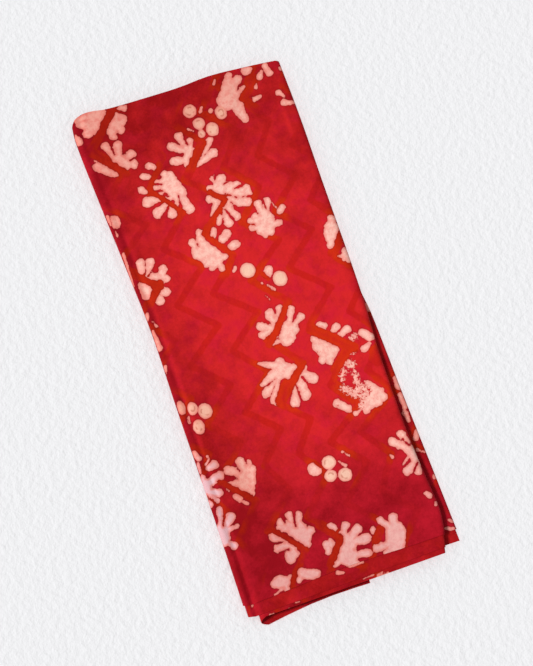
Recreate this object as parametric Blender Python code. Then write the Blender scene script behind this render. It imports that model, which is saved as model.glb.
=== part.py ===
"""A length of batik cotton, doubled and book-folded flat, lying on a surface.

The cloth is 1.83 m long and 1.14 m wide. It is doubled across its width, selvedge to
selvedge, and the doubled strip is then folded in half three times. That makes eight
panels, each of two cloths, joined by three tiers of folds. The model is one closed
sheet: a section that runs back and forth through the eight panels, drawn out along Y.

Frame: X across the folds, Y along them towards the doubling fold, Z up, and the origin
under the middle of the bounding box. Units are metres.
"""
from collections import namedtuple
from math import cos, exp, pi, sin

import bpy

# The sheet and the stack
SHEET = 0.0015            # thickness of one panel: two cloths and the air between them
GAP = 0.00035             # clear space between two panels
PITCH = SHEET + GAP
TOP_LEVEL = 7
FOLD_STRETCH = 1.30       # a fold reaches out this much further than a half circle
SELVEDGE_STEP = 0.0005    # the upper cloth of the top panel is this thick
SELVEDGE_BACK = 0.0125    # and ends this far behind the near edge of the cloth below it
CUT_WIDTH = 0.0004        # length along Y in which that edge drops
FAR_END_SHARE = 0.45      # share of the thickness left at the rounded far end

# The mesh
PANEL_STEPS = 9
TOP_PANEL_STEPS = 14
GROOVE_STEPS = (0.0013, 0.0027, 0.0044, 0.0066, 0.0100)  # extra columns beside the groove
ROW_COUNT = 17

# The outline in plan. Each table is read as a smooth curve through its places: at is the
# distance along the edge's own axis and edge is how far out the cloth reaches there.
Place = namedtuple("Place", "at edge")
LEFT_EDGE = (
    Place(at=-0.290, edge=-0.1170),
    Place(at=-0.150, edge=-0.1153),
    Place(at=-0.050, edge=-0.1150),
    Place(at=0.040, edge=-0.1140),
    Place(at=0.120, edge=-0.1173),
    Place(at=0.200, edge=-0.1213),
    Place(at=0.270, edge=-0.1240),
    Place(at=0.297, edge=-0.1215),
)
UPPER_RIGHT_EDGE = (
    Place(at=-0.290, edge=0.1052),
    Place(at=-0.266, edge=0.1103),
    Place(at=-0.246, edge=0.1136),
    Place(at=-0.225, edge=0.1130),
    Place(at=-0.168, edge=0.1098),
    Place(at=-0.064, edge=0.1112),
    Place(at=0.006, edge=0.1156),
    Place(at=0.140, edge=0.1180),
    Place(at=0.218, edge=0.1195),
    Place(at=0.297, edge=0.1188),
)
LOWER_RIGHT_EDGE = (
    Place(at=-0.290, edge=0.1242),
    Place(at=-0.198, edge=0.1222),
    Place(at=-0.114, edge=0.1202),
    Place(at=-0.018, edge=0.1186),
    Place(at=0.007, edge=0.1163),
    Place(at=0.060, edge=0.1130),
    Place(at=0.297, edge=0.1120),
)
FAR_EDGE = (
    Place(at=-0.1240, edge=0.2830),
    Place(at=-0.1200, edge=0.2915),
    Place(at=-0.1145, edge=0.2962),
    Place(at=-0.1000, edge=0.2975),
    Place(at=-0.0800, edge=0.2942),
    Place(at=-0.0300, edge=0.2922),
    Place(at=0.0050, edge=0.2916),
    Place(at=0.0380, edge=0.2932),
    Place(at=0.0850, edge=0.2898),
    Place(at=0.1190, edge=0.2856),
)
FAR_MIDDLE = 0.2916

# The panels in the order of the strip. Each runs left or right at its level in the stack.
# Its near edge runs from one place along Y to another, drawn in at its middle by bow, and
# its far edge stays behind the outline by far_back.
Panel = namedtuple("Panel", "level goes near_start near_end bow far_back")
PANELS = (
    Panel(level=0, goes="left", near_start=-0.2790, near_end=-0.2810, bow=0.000, far_back=0.0030),
    Panel(level=7, goes="right", near_start=-0.2855, near_end=-0.2832, bow=0.000, far_back=0.0000),
    Panel(level=4, goes="left", near_start=-0.2832, near_end=-0.2820, bow=0.001, far_back=0.0025),
    Panel(level=3, goes="right", near_start=-0.2820, near_end=-0.2812, bow=0.001, far_back=0.0040),
    Panel(level=2, goes="left", near_start=-0.2812, near_end=-0.2825, bow=0.002, far_back=0.0035),
    Panel(level=5, goes="right", near_start=-0.2835, near_end=-0.2885, bow=0.001, far_back=0.0020),
    Panel(level=6, goes="left", near_start=-0.2890, near_end=-0.2890, bow=0.000, far_back=0.0015),
    Panel(level=1, goes="right", near_start=-0.2975, near_end=-0.2918, bow=0.0032, far_back=0.0004),
)

# What bounds the panels at their sides
INNER_FOLD_INSET = 0.010  # the inner left folds draw back this far at the near end
INSET_NEAR = -0.285
INSET_FAR = -0.110
FIRST_CUT = 0.1080        # where the first panel is cut, across the cloth
LAST_CUT_NEAR = 0.0180    # where the last panel is cut, at its near and its far end
LAST_CUT_FAR = 0.0400

# How the stack lies: each row presses or puffs the whole height by a share of it
Swell = namedtuple("Swell", "x y across along turn share")
SWELLS = (
    Swell(x=-0.020, y=0.060, across=0.075, along=0.260, turn=0.00, share=0.030),
    Swell(x=0.095, y=0.180, across=0.030, along=0.120, turn=0.10, share=-0.050),
    Swell(x=-0.045, y=-0.215, across=0.040, along=0.080, turn=0.40, share=-0.045),
    Swell(x=0.060, y=-0.150, across=0.045, along=0.100, turn=-0.25, share=0.050),
    Swell(x=0.000, y=0.285, across=0.180, along=0.022, turn=0.00, share=-0.110),
    Swell(x=0.040, y=-0.278, across=0.120, along=0.018, turn=0.05, share=-0.080),
)
GROOVE_INSIDE = 0.0100    # the soft groove beside the left fold, in from the edge
GROOVE_WIDTH = 0.0036
GROOVE_SHARE = 0.075      # its depth along most of the edge, as a share of the height
GROOVE_NEAR_SHARE = 0.230 # its depth at the near end, where the inner folds draw back
LIFT = 0.0016             # the upper pack stands off the lower one at the near right
SETTLE = 0.0012           # the stack drops past the cut end of the last panel

CLOTH_RED = (0.49, 0.017, 0.020, 1.0)
CLOTH_ROUGHNESS = 0.85


def smooth(value, start, end):
    """Rises softly from 0 at start to 1 at end."""
    share = min(max((value - start) / (end - start), 0.0), 1.0)
    return share * share * (3.0 - 2.0 * share)


def along_curve(places, at):
    """Reads the smooth curve through a table of places."""
    last = len(places) - 1
    if at <= places[0].at:
        return places[0].edge
    if at >= places[last].at:
        return places[last].edge
    start = max(k for k in range(last) if places[k].at <= at)

    def slope(k):
        before, after = places[max(k - 1, 0)], places[min(k + 1, last)]
        return (after.edge - before.edge) / (after.at - before.at)

    span = places[start + 1].at - places[start].at
    u = (at - places[start].at) / span
    rise = u * u * (3.0 - 2.0 * u)
    start_pull = u * (1.0 - u) ** 2 * span * slope(start)
    end_pull = u * u * (1.0 - u) * span * slope(start + 1)
    ends = places[start].edge * (1.0 - rise) + places[start + 1].edge * rise
    return ends + start_pull - end_pull


def level_height(level):
    """Height of a panel's middle surface above the table."""
    return SHEET / 2 + level * PITCH


def fold_reach(pitches):
    """How far a nest of folds reaches out from the line that they turn around."""
    return (pitches / 2 * PITCH + SHEET / 2) * FOLD_STRETCH


def left_axis(index, y):
    """X of the line that the left fold of a panel turns around."""
    axis = along_curve(LEFT_EDGE, y) + fold_reach(TOP_LEVEL)
    if index < 2:
        return axis
    return axis + INNER_FOLD_INSET * (1.0 - smooth(y, INSET_NEAR, INSET_FAR))


def last_cut(y):
    """X where the last panel is cut off."""
    share = (y - PANELS[-1].near_end) / (FAR_MIDDLE - PANELS[-1].near_end)
    return LAST_CUT_NEAR + (LAST_CUT_FAR - LAST_CUT_NEAR) * share


def right_limit(index, y):
    """X where a panel ends on the right: at a fold's line or at a cut end."""
    if index == 0:
        return FIRST_CUT
    if index == len(PANELS) - 1:
        return last_cut(y)
    if PANELS[index].level > 3:
        return along_curve(UPPER_RIGHT_EDGE, y) - fold_reach(3)
    return along_curve(LOWER_RIGHT_EDGE, y) - fold_reach(1)


def lie(x, y, z):
    """Moves a point of the tidy stack to where the cloth really lies."""
    share = 1.0
    for swell in SWELLS:
        dx, dy = x - swell.x, y - swell.y
        across = (dx * cos(swell.turn) + dy * sin(swell.turn)) / swell.across
        along = (dy * cos(swell.turn) - dx * sin(swell.turn)) / swell.along
        share += swell.share * exp(-across * across - along * along)
    from_groove = (x - along_curve(LEFT_EDGE, y) - GROOVE_INSIDE) / GROOVE_WIDTH
    near = 1.0 - smooth(y, -0.250, -0.170)
    depth = GROOVE_SHARE + (GROOVE_NEAR_SHARE - GROOVE_SHARE) * near
    share -= depth * exp(-from_groove * from_groove)
    at_near_right = smooth(x, 0.030, 0.115) * (1.0 - smooth(y, -0.250, 0.020))
    raised = LIFT * at_near_right * smooth(z, 3 * PITCH + SHEET, 4 * PITCH)
    past_cut = smooth(x, last_cut(y) + 0.001, last_cut(y) + 0.040)
    over_cut = min(max((z - SHEET) / (2 * PITCH - SHEET), 0.0), 1.0)
    return x, y, (z + raised - SETTLE * past_cut * over_cut) * share


def panel_shares(panel):
    """Places of the mesh columns across a panel, from 0 at its start to 1 at its end."""
    if panel.level != TOP_LEVEL:
        return [k / PANEL_STEPS for k in range(PANEL_STEPS + 1)]
    width = right_limit(1, 0.0) - left_axis(1, 0.0)
    even = [k / TOP_PANEL_STEPS for k in range(TOP_PANEL_STEPS + 1)]
    return sorted(even + [step / width for step in GROOVE_STEPS])


def sheet_columns():
    """The section from cut end to cut end, as (kind, panel index, share) for each column."""
    columns = []
    for index, panel in enumerate(PANELS):
        columns += [("panel", index, share) for share in panel_shares(panel)]
        if index + 1 < len(PANELS):
            reach = abs(PANELS[index + 1].level - panel.level)
            steps = 4 if reach == 1 else 4 + reach
            columns += [("fold", index, k / steps) for k in range(1, steps)]
    return columns


def column_point(column, y, side, half):
    """X and Z of one face of the sheet. The upper cloth of the top panel is side +1."""
    kind, index, share = column
    panel = PANELS[index]
    left, right = left_axis(index, y), right_limit(index, y)
    if kind == "panel":
        rightwards = panel.goes == "right"
        x = left + (right - left) * (share if rightwards else 1.0 - share)
        return x, level_height(panel.level) + (side if rightwards else -side) * half
    after = PANELS[index + 1]
    rising = 1.0 if after.level > panel.level else -1.0
    outwards = -1.0 if panel.goes == "left" else 1.0
    radius = abs(after.level - panel.level) * PITCH / 2 - side * rising * outwards * half
    angle = rising * (share - 0.5) * pi
    middle = (level_height(panel.level) + level_height(after.level)) / 2
    axis = left if panel.goes == "left" else right
    return axis + outwards * radius * cos(angle) * FOLD_STRETCH, middle + radius * sin(angle)


def column_ends(column):
    """Y of the near edge, and how far the far edge stays back, at one column."""
    kind, index, share = column
    panel = PANELS[index]
    if kind == "panel":
        drawn_in = panel.bow * sin(pi * share)
        near = panel.near_start + (panel.near_end - panel.near_start) * share + drawn_in
        return near, panel.far_back
    after = PANELS[index + 1]
    near = panel.near_end + (after.near_start - panel.near_end) * share
    return near, panel.far_back + (after.far_back - panel.far_back) * share


def row_shares():
    """Places of the rows along the cloth: closer at its two ends, and one at the selvedge."""
    rows = [0.5 - 0.5 * cos(pi * k / (ROW_COUNT - 1)) for k in range(ROW_COUNT)]
    length = FAR_MIDDLE - PANELS[1].near_start
    return sorted(rows + [SELVEDGE_BACK / length, (SELVEDGE_BACK + CUT_WIDTH) / length])


def sheet_point(column, row, side):
    """One point of the finished sheet."""
    near, back = column_ends(column)
    far_x, _ = column_point(column, FAR_MIDDLE, 0, SHEET / 2)
    y = near + (along_curve(FAR_EDGE, far_x) - back - near) * row
    half = SHEET / 2
    if row == 1.0:
        half *= FAR_END_SHARE
    kind, index, _ = column
    on_top = kind == "panel" and PANELS[index].level == TOP_LEVEL
    before_selvedge = row * (FAR_MIDDLE - PANELS[1].near_start) < SELVEDGE_BACK + CUT_WIDTH / 2
    if on_top and side > 0 and before_selvedge:
        half -= SELVEDGE_STEP
    x, z = column_point(column, y, side, half)
    return lie(x, y, z)


def build_cloth():
    """The folded cloth as one closed mesh."""
    columns = sheet_columns()
    rows = row_shares()
    points = []
    for side in (1, -1):
        for column in columns:
            points += [sheet_point(column, row, side) for row in rows]
    wide, deep = len(columns), len(rows)

    def upper(c, r):
        return c * deep + r

    def lower(c, r):
        return (wide + c) * deep + r

    faces = []
    for c in range(wide - 1):
        for r in range(deep - 1):
            faces.append((upper(c, r), upper(c + 1, r), upper(c + 1, r + 1), upper(c, r + 1)))
            faces.append((lower(c, r + 1), lower(c + 1, r + 1), lower(c + 1, r), lower(c, r)))
        far = deep - 1
        faces.append((lower(c, 0), lower(c + 1, 0), upper(c + 1, 0), upper(c, 0)))
        faces.append((upper(c, far), upper(c + 1, far), lower(c + 1, far), lower(c, far)))
    for r in range(deep - 1):
        end = wide - 1
        faces.append((upper(0, r + 1), lower(0, r + 1), lower(0, r), upper(0, r)))
        faces.append((upper(end, r), lower(end, r), lower(end, r + 1), upper(end, r + 1)))
    mesh = bpy.data.meshes.new("cloth")
    mesh.from_pydata(points, [], faces)
    mesh.update()
    mesh.shade_smooth()
    return mesh


def cloth_material():
    """Red dyed cotton."""
    material = bpy.data.materials.new("batik cotton")
    material.use_nodes = True
    shader = material.node_tree.nodes["Principled BSDF"]
    shader.inputs["Base Color"].default_value = CLOTH_RED
    shader.inputs["Roughness"].default_value = CLOTH_ROUGHNESS
    shader.inputs["Metallic"].default_value = 0.0
    return material


def main():
    for obj in list(bpy.data.objects):
        bpy.data.objects.remove(obj, do_unlink=True)
    cloth = bpy.data.objects.new("cloth", build_cloth())
    cloth.data.materials.append(cloth_material())
    bpy.context.scene.collection.objects.link(cloth)


main()
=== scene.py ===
"""Looks of a length of batik cotton, doubled and book-folded flat.

The cloth is one thin sheet of 1.14 m by 1.83 m. Its section runs back and forth through
eight panels, and each panel holds two cloths, which join in the doubling fold at the far
end. The print lies in flat cloth coordinates in millimetres: S along the length of the
cloth and T across it. On the upper cloth of the top panel S and T are the frame's X and Y.
"""
from collections import namedtuple
from math import cos, pi, radians, sin

import bpy
import numpy as np
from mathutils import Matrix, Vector


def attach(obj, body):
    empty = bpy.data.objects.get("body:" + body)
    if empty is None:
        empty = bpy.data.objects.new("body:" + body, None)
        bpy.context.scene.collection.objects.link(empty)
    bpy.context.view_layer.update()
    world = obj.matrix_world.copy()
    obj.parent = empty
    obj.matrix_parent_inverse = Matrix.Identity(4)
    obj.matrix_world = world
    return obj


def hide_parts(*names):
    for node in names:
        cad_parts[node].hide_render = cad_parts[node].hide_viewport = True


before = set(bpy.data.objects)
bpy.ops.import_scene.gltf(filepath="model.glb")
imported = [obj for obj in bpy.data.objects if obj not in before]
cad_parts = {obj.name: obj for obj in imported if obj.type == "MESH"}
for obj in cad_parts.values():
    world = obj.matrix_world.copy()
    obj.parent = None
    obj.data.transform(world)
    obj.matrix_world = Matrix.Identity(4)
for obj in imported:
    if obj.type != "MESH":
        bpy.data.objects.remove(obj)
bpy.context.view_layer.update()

# Cloth and stack, in metres, as in the solid
SHEET = 0.0015
GAP = 0.00035
PITCH = SHEET + GAP
FOLD_STRETCH = 1.30
SELVEDGE_BACK = 0.0125
SELVEDGE_BOW, SELVEDGE_MIDDLE, SELVEDGE_SPREAD = 0.0036, -0.004, 0.070
CLOTH_THICK = 0.00036
CLOTH_APART = 0.00052     # each cloth lies this far above or below its panel's middle

# Outlines of the stack seen from above: Y and the edge's X, and for the far edge X and its Y
LEFT_EDGE = (
    (-0.290, -0.1170), (-0.150, -0.1153), (-0.050, -0.1150), (0.040, -0.1140), (0.120, -0.1173),
    (0.200, -0.1213), (0.270, -0.1240), (0.297, -0.1215),
)
UPPER_RIGHT_EDGE = (
    (-0.290, 0.1052), (-0.266, 0.1103), (-0.246, 0.1136), (-0.225, 0.1130), (-0.168, 0.1098),
    (-0.064, 0.1112), (0.006, 0.1156), (0.140, 0.1180), (0.218, 0.1195), (0.297, 0.1188),
)
LOWER_RIGHT_EDGE = (
    (-0.290, 0.1242), (-0.198, 0.1222), (-0.114, 0.1202), (-0.018, 0.1186), (0.007, 0.1163),
    (0.060, 0.1130), (0.297, 0.1120),
)
FAR_EDGE = (
    (-0.1240, 0.2830), (-0.1200, 0.2915), (-0.1145, 0.2962), (-0.1000, 0.2975), (-0.0800, 0.2942),
    (-0.0300, 0.2922), (0.0050, 0.2916), (0.0380, 0.2932), (0.0850, 0.2898), (0.1190, 0.2856),
)
FAR_MIDDLE = 0.2916

# The panels in the order of the strip, each running left or right at its level
Panel = namedtuple("Panel", "level goes near_start near_end bow far_back")
PANELS = (
    Panel(0, "left", -0.2790, -0.2810, 0.000, 0.0030),
    Panel(7, "right", -0.2855, -0.2832, 0.000, 0.0000),
    Panel(4, "left", -0.2832, -0.2820, 0.001, 0.0025),
    Panel(3, "right", -0.2820, -0.2812, 0.001, 0.0040),
    Panel(2, "left", -0.2812, -0.2825, 0.002, 0.0035),
    Panel(5, "right", -0.2835, -0.2885, 0.001, 0.0020),
    Panel(6, "left", -0.2890, -0.2890, 0.000, 0.0015),
    Panel(1, "right", -0.2975, -0.2918, 0.0032, 0.0004),
)
TOP, RIGHT_STRIP, LAST = 1, 3, len(PANELS) - 1
# The lowest level of the upper four panels, and how many pitches each nest of right folds spans
UPPER_FROM, UPPER_NEST, LOWER_NEST = 4, 3, 1
INNER_FOLD_INSET = 0.010
INSET_NEAR, INSET_FAR = -0.285, -0.110
FIRST_CUT = 0.1080
LAST_CUT_NEAR, LAST_CUT_FAR = 0.0180, 0.0400

# Swells and creases: x, y, reach across and along, turn, and share of the height there
SWELLS = (
    (-0.020, 0.060, 0.075, 0.260, 0.00, 0.030), (0.095, 0.180, 0.030, 0.120, 0.10, -0.050),
    (-0.045, -0.215, 0.040, 0.080, 0.40, -0.045), (0.060, -0.150, 0.045, 0.100, -0.25, 0.050),
    (0.000, 0.285, 0.180, 0.022, 0.00, -0.110), (0.040, -0.278, 0.120, 0.018, 0.05, -0.080),
    (-0.067, -0.100, 0.005, 0.140, 0.00, -0.018), (-0.097, 0.100, 0.006, 0.090, -0.02, -0.016),
    (0.104, 0.210, 0.003, 0.030, 0.00, 0.014), (0.030, 0.060, 0.008, 0.110, 0.06, -0.012),
    (0.020, -0.205, 0.070, 0.006, 0.08, -0.012),
)
GROOVE_INSIDE = 0.0100
GROOVE_WIDTH = 0.0036
GROOVE_SHARE, GROOVE_NEAR_SHARE = 0.110, 0.250
GROOVE_DEEPENS = (-0.250, -0.170)
LIFT = 0.0016
LIFT_ACROSS, LIFT_ALONG = (0.030, 0.115), (-0.250, 0.020)
SETTLE = 0.0012
SETTLE_FROM, SETTLE_TO = 0.001, 0.040

# The mesh: a fine lattice, of which most of the sheet uses only every few lines
PANEL_LINES = 144
COARSE_TOP = (0, 1, 2, 3, 4, 5, 6, 8, 10, 13, 18) + tuple(range(24, 144, 8)) + (144,)
COARSE_PANEL = (0, 1, 3, 6, 12, 28, 60, 92, 124, 132, 144)
STRIP_LINES = 12
FOLD_LINES = (12, 8, 4, 4, 6, 4, 8)   # for each fold in the order of the strip
ROW_LINES = 368
ROW_STRIDE = 16
BEND_LINES = 6
SHARP_ANGLE = radians(60)

# The print, in millimetres. A round end or a petal's tip is x, y and half its width.
# A flower is a fused middle, from hub to body, with a petal out to each tip.
Flower = namedtuple("Flower", "hub body tips")
FLOWERS = tuple(Flower(hub, body, tips) for hub, body, *tips in (
    ((-93, 290, 12), (-101, 280, 9), (-116, 290, 5.4), (-112, 270, 6), (-101, 270, 2.6)),
    ((-76, 273, 8), (-81, 268, 7), (-70, 287, 3.2), (-64, 274, 4.8), (-70, 262, 5), (-83, 257, 5)),
    ((-86, 234, 7), (-79, 226, 6.5), (-96, 258, 5.2), (-80, 255, 5.2), (-67, 239, 6), (-67, 222, 5.4)),
    ((-42, 190, 10.5), (-36, 176, 9), (-44, 206, 3.8), (-36, 203, 4.6), (-57, 197, 3.8), (-60, 190, 3.6),
     (-56, 182, 3.4), (-51, 174, 3.4), (-41, 161, 4.2), (-29, 150, 6)),
    ((-9, 214, 8), (-14, 209, 6.5), (-30, 233, 4.8), (-16, 242, 4.8), (-4, 232, 4), (-33, 213, 5.2),
     (-18, 202, 3.6)),
    ((50, 259, 11.5), (58, 276, 8.6), (61, 290, 4.2), (73, 280, 5.6), (38, 263, 4.2), (64, 247, 4.4),
     (46, 248, 4)),
    ((9, 168, 8), (24, 160, 7.5), (5, 183, 4.2), (16, 181, 5.2), (31, 167, 5), (40, 154, 5.6),
     (-5, 171, 3.4)),
    ((8, 148, 5.5), (27, 148, 9), (35, 139, 6.2), (17, 126, 4.8), (4, 121, 5), (40, 152, 4)),
    ((42, 116, 12.4), (41, 108, 10), (42, 140, 4.8), (54, 140, 4.8), (31, 126, 3.8), (24, 122, 3.2),
     (24, 114, 3.6), (30, 105, 4), (38, 97, 4.2), (47, 98, 4.6), (61, 109, 3.6)),
    ((-96, 98, 4.6), (-85, 91, 6.2), (-88, 118, 4.8), (-77, 105, 4.6), (-75, 89, 4.6)),
    ((-33, 107, 11), (-24, 94, 11), (-41, 123, 5.2), (-28, 130, 5.2), (-45, 102, 4.5), (-36, 89, 4.5),
     (-30, 81, 3.8), (-17, 77, 3.8), (-8, 91, 4)),
    ((109, 84, 8), (104, 75, 6.5), (102, 90, 4.5), (114, 98, 4.4), (101, 62, 4.4)),
    ((115, 54, 5), (114, 50, 4), (104, 52, 1.6), (109, 46, 2), (115, 41, 3)),
    ((17, 4, 4), (11, -1, 4), (12, 21, 6), (27, 22, 3.6), (-5, 8, 5.2), (-6, -5, 4.2)),
    ((28, -6, 8.5), (22, -16, 8.5), (39, 17, 4), (48, 4, 4.6), (38, -11, 6.5), (3, -10, 2), (4, -17, 2.4)),
    ((4, -47, 9.5), (11, -50, 8.5), (8, -33, 4.8), (22, -47, 4.4), (-23, -69, 4.6), (-17, -78, 2.8)),
    ((25, -58, 4.5), (19, -63, 4.5), (38, -71, 6.6), (20, -87, 6.2), (5, -90, 5.6), (31, -50, 2.6)),
    ((52, -35, 7.5), (58, -44, 10.5), (48, -23, 4), (47, -54, 5), (56, -59, 4.6), (71, -45, 4),
     (61, -33, 3)),
    ((90, -107, 8.5), (77, -112, 7.5), (101, -102, 4.5), (102, -112, 5.5), (91, -119, 5.5), (75, -122, 5),
     (62, -119, 2.6)),
    ((-113, -137, 7.5), (-114, -144, 6.5), (-90, -132, 5.6), (-98, -152, 4.6), (-105, -160, 3),
     (-114, -162, 3.2), (-113, -126, 4)),
    ((-68, -142, 9.5), (-71, -151, 9.5), (-89, -127, 5.2), (-70, -121, 5), (-61, -126, 4),
     (-56, -136, 4.5), (-69, -166, 3.2)),
    ((-112, -189, 8), (-113, -199, 7), (-94, -175, 5.4), (-93, -190, 2.8), (-102, -211, 4),
     (-106, -163, 3.2)),
    ((107, -176, 7), (109, -186, 5), (87, -156, 5), (101, -150, 4.2), (90, -197, 4.8), (104, -202, 4)),
    ((-37, -213, 10), (-32, -223, 8.5), (-54, -198, 5.4), (-40, -193, 4.4), (-28, -196, 4.2),
     (-19, -218, 4.6), (-31, -236, 4.4), (-57, -205, 4.6)),
    ((-51, -226, 6.5), (-50, -236, 7), (-66, -210, 4.4), (-67, -226, 4.6), (-57, -245, 6.4),
     (-44, -240, 4)),
    ((8, -246, 10), (4, -258, 10.5), (14, -223, 5.2), (28, -231, 5.4), (35, -247, 5.6), (30, -263, 4.6),
     (-14, -263, 3.4), (10, -280, 8), (5, -231, 2.6)),
    ((61, -250, 10.5), (57, -261, 10.5), (47, -231, 4.2), (64, -230, 5.2), (69, -250, 5.2),
     (32, -260, 4.8), (41, -272, 4.6), (59, -276, 5)),
    ((-72, -260, 7), (-67, -262, 6), (-58, -257, 2.2), (-82, -260, 5.4), (-68, -273, 3.2)),
    ((-46, -260, 5.8), (-37, -264, 5.6), (-49, -254, 2.6), (-55, -267, 2.8), (-28, -265, 4.6)),
))

# One separate petal or scrap each, from one round end to the other
BITS = (
    (-67, 292, 3.2, -61, 289, 3.6), (-122, 275, 3, -120, 268, 4.4), (-110, 234, 5.4, -95, 221, 4.4),
    (-112, 243, 0.7, -108, 238, 1.6), (58, 262, 6, 72, 269, 1.4), (-70, 283, 3, -66, 277, 4.6),
    (-106, 293, 4, -113, 292, 4.4), (-59, -216, 4, -66, -210, 1.8), (-56, 216, 4.2, -52, 213, 3),
    (-66, 207, 4, -62, 205, 3.6), (-73, 193, 4.2, -70, 190, 2.8), (-71, 178, 6.3, -59, 176, 2.6),
    (-65, 162, 5.6, -54, 168, 3), (-50, 156, 5.2, -48, 163, 2.8), (-6, 200, 2.8, 15, 207, 5.2),
    (1, 207, 2.6, 16, 222, 4.3), (57, 248, 6.5, 61, 232, 4.2), (80, 286, 5.4, 82, 286, 5.3),
    (92, 273, 3.4, 96, 280, 1.6), (102, 284, 3.5, 104, 274, 3.7), (84, 263, 2.3, 86, 267, 0.9),
    (78, 251, 2.8, 86, 252, 2), (106, 249, 3.6, 111, 243, 1.2), (108, 236, 4.2, 117, 233, 2),
    (117, 276, 1.5, 117, 274, 1.5), (41, 282, 1.2, 44, 287, 1), (17, 257, 2, 20, 261, 1),
    (-3, 242, 0.9, 2, 238, 1), (-6, 159, 4.4, 1, 153, 3.4), (-1, 151, 4, -11, 140, 1.2),
    (-6, 130, 2.6, -2, 135, 3.2), (63, 121, 3.7, 66, 124, 3.7), (57, 132, 0.8, 60, 125, 0.6),
    (-102, 107, 4, -100, 116, 4.5), (-105, 91, 5.6, -104, 80, 6.5), (-87, 78, 5, -84, 75, 4.8),
    (-94, 71, 4.6, -94, 68, 4.8), (-13, 124, 3, -16, 118, 3.5), (-8, 111, 4.6, -1, 115, 5.2),
    (0, 100, 4.6, 4, 101, 5), (-8, 73, 1.7, -5, 76, 2), (-111, 172, 4.6, -111, 165, 4.6),
    (-118, 177, 2, -117, 168, 1.8), (-115, 131, 2, -116, 94, 1.5), (-112, 58, 3.2, -114, 53, 1.6),
    (-108, 50, 0.9, -107, 44, 1.8), (-112, 39, 2.2, -111, 20, 3.8), (-112, -2, 2, -113, -9, 1.2),
    (29, 63, 4.4, 26, 58, 5), (17, 51, 1.4, 17, 50, 1.4), (22, 46, 1.2, 28, 39, 1.7),
    (16, 36, 0.8, 19, 31, 0.9), (61, -14, 4.5, 64, -16, 4.2), (77, -21, 4.6, 72, -24, 2.8),
    (86, -28, 5, 79, -31, 3.6), (91, -38, 4.6, 86, -40, 4), (101, -37, 4.8, 107, -44, 4.3),
    (97, -54, 4.5, 104, -51, 1.8), (82, -56, 3, 85, -53, 3.2), (75, -63, 5.4, 78, -66, 5.4),
    (68, -70, 4.2, 63, -77, 3.6), (78, -74, 3.2, 77, -86, 4.6), (61, -88, 5, 71, -97, 5.6),
    (78, -94, 6.5, 80, -102, 8), (87, -92, 4.6, 93, -102, 5.6), (49, -101, 4.6, 58, -110, 4.3),
    (-113, -101, 3, -110, -108, 3.3), (-101, -109, 1.4, -100, -112, 1.2), (-100, -112, 1.2, -105, -117, 1),
    (-113, -113, 2.4, -114, -122, 1.6), (-106, -62, 0.9, -107, -68, 1.8), (0, -47, 6.6, -20, -55, 2.4),
    (1, -41, 5, -16, -32, 1.6), (-15, -78, 1.4, -11, -82, 1), (-80, -147, 4.5, -89, -144, 1.4),
    (-2, -222, 3.8, 1, -226, 3.4), (-115, 163, 1, -114, 152, 0.8), (-104, -121, 3, -97, -120, 5),
    (-86, -160, 3.4, -83, -164, 3.1), (-80, -167, 1.7, -77, -171, 1.9), (-93, -149, 0.8, -91, -152, 0.8),
    (-108, -170, 3.2, -109, -178, 2.6), (2, -159, 7, 3, -160, 7), (29, -160, 1.1, 35, -167, 1.7),
    (36, -152, 1.1, 42, -158, 1.1), (83, -172, 1.4, 85, -175, 1.8), (100, -181, 1.6, 92, -187, 0.7),
    (105, -223, 2.8, 107, -227, 2.9), (111, -235, 1.3, 111, -238, 1.3), (-12, -239, 4.6, -13, -247, 3.8),
    (-8, -236, 2.4, -8, -241, 4.8), (38, -244, 2.2, 39, -241, 3.5), (-82, -271, 0.9, -73, -268, 1.8),
)

# The same on the other edges that show, by their panel and its lower cloth or not
EDGE_BITS = {
    (RIGHT_STRIP, False): (
        (116, -7, 2, 116, -14, 1.6), (118, -94, 3, 118, -105, 3), (117, -113, 2.4, 117, -128, 2.8),
        (116, -134, 3.2, 115, -143, 2), (116, -163, 3, 120, -157, 3), (114, -175, 1.4, 120, -180, 1),
        (120, -208, 1.4, 120, -210, 1.4), (120, -257, 1.8, 121, -260, 1.6),
        (113, -264, 1.6, 120, -267, 2.2), (111, -276, 1.8, 116, -277, 1.3),
        (119, -275, 1.2, 120, -275, 1.2),
    ),
    (TOP, True): (
        (-12, -271, 2.2, -6, -273, 1.3), (4, -268, 3.4, 16, -268, 2.4), (-110, -273, 1.4, -110, -274, 1.4),
    ),
    (LAST - 1, True): (
        (-94, -289, 0.9, -90, -289, 0.9), (-73, -288, 0.8, -71, -288, 0.8), (-67, -287, 1, -59, -287, 1),
        (12, -286, 0.6, 34, -286, 0.9), (26, -289, 0.9, 44, -289, 0.9),
    ),
}

# Dots: x, y and half their width and height
DOTS = (
    (6, 261, 7.6, 7.8), (11, 244, 6.6, 7), (23, 233, 6.9, 8.3), (38, 248, 6.4, 8.2), (28, 254, 2.4, 2.9),
    (10, 232, 4.2, 4.7), (7, 69, 8.3, 8.3), (37, 49, 7.8, 8.7), (-110, -50, 4.4, 8), (-99, -55, 5.6, 7),
    (-87, -62, 7.6, 8.4), (-99, -76, 6.2, 8.1), (19, -158, 7.6, 7.4), (16, -172, 6.7, 6.3),
    (31, -176, 7.5, 7.4),
)

# Where the wax had cracked, so that a shape is broken up into specks: x, y and reach
BROKEN = (
    (94, -42, 4), (88, -40, 9), (83, -55, 6), (77, -65, 10), (66, -74, 10), (78, -81, 10), (64, -92, 13),
    (80, -97, 13), (72, -110, 9), (50, -41, 3), (49, -102, 3),
)

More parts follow.
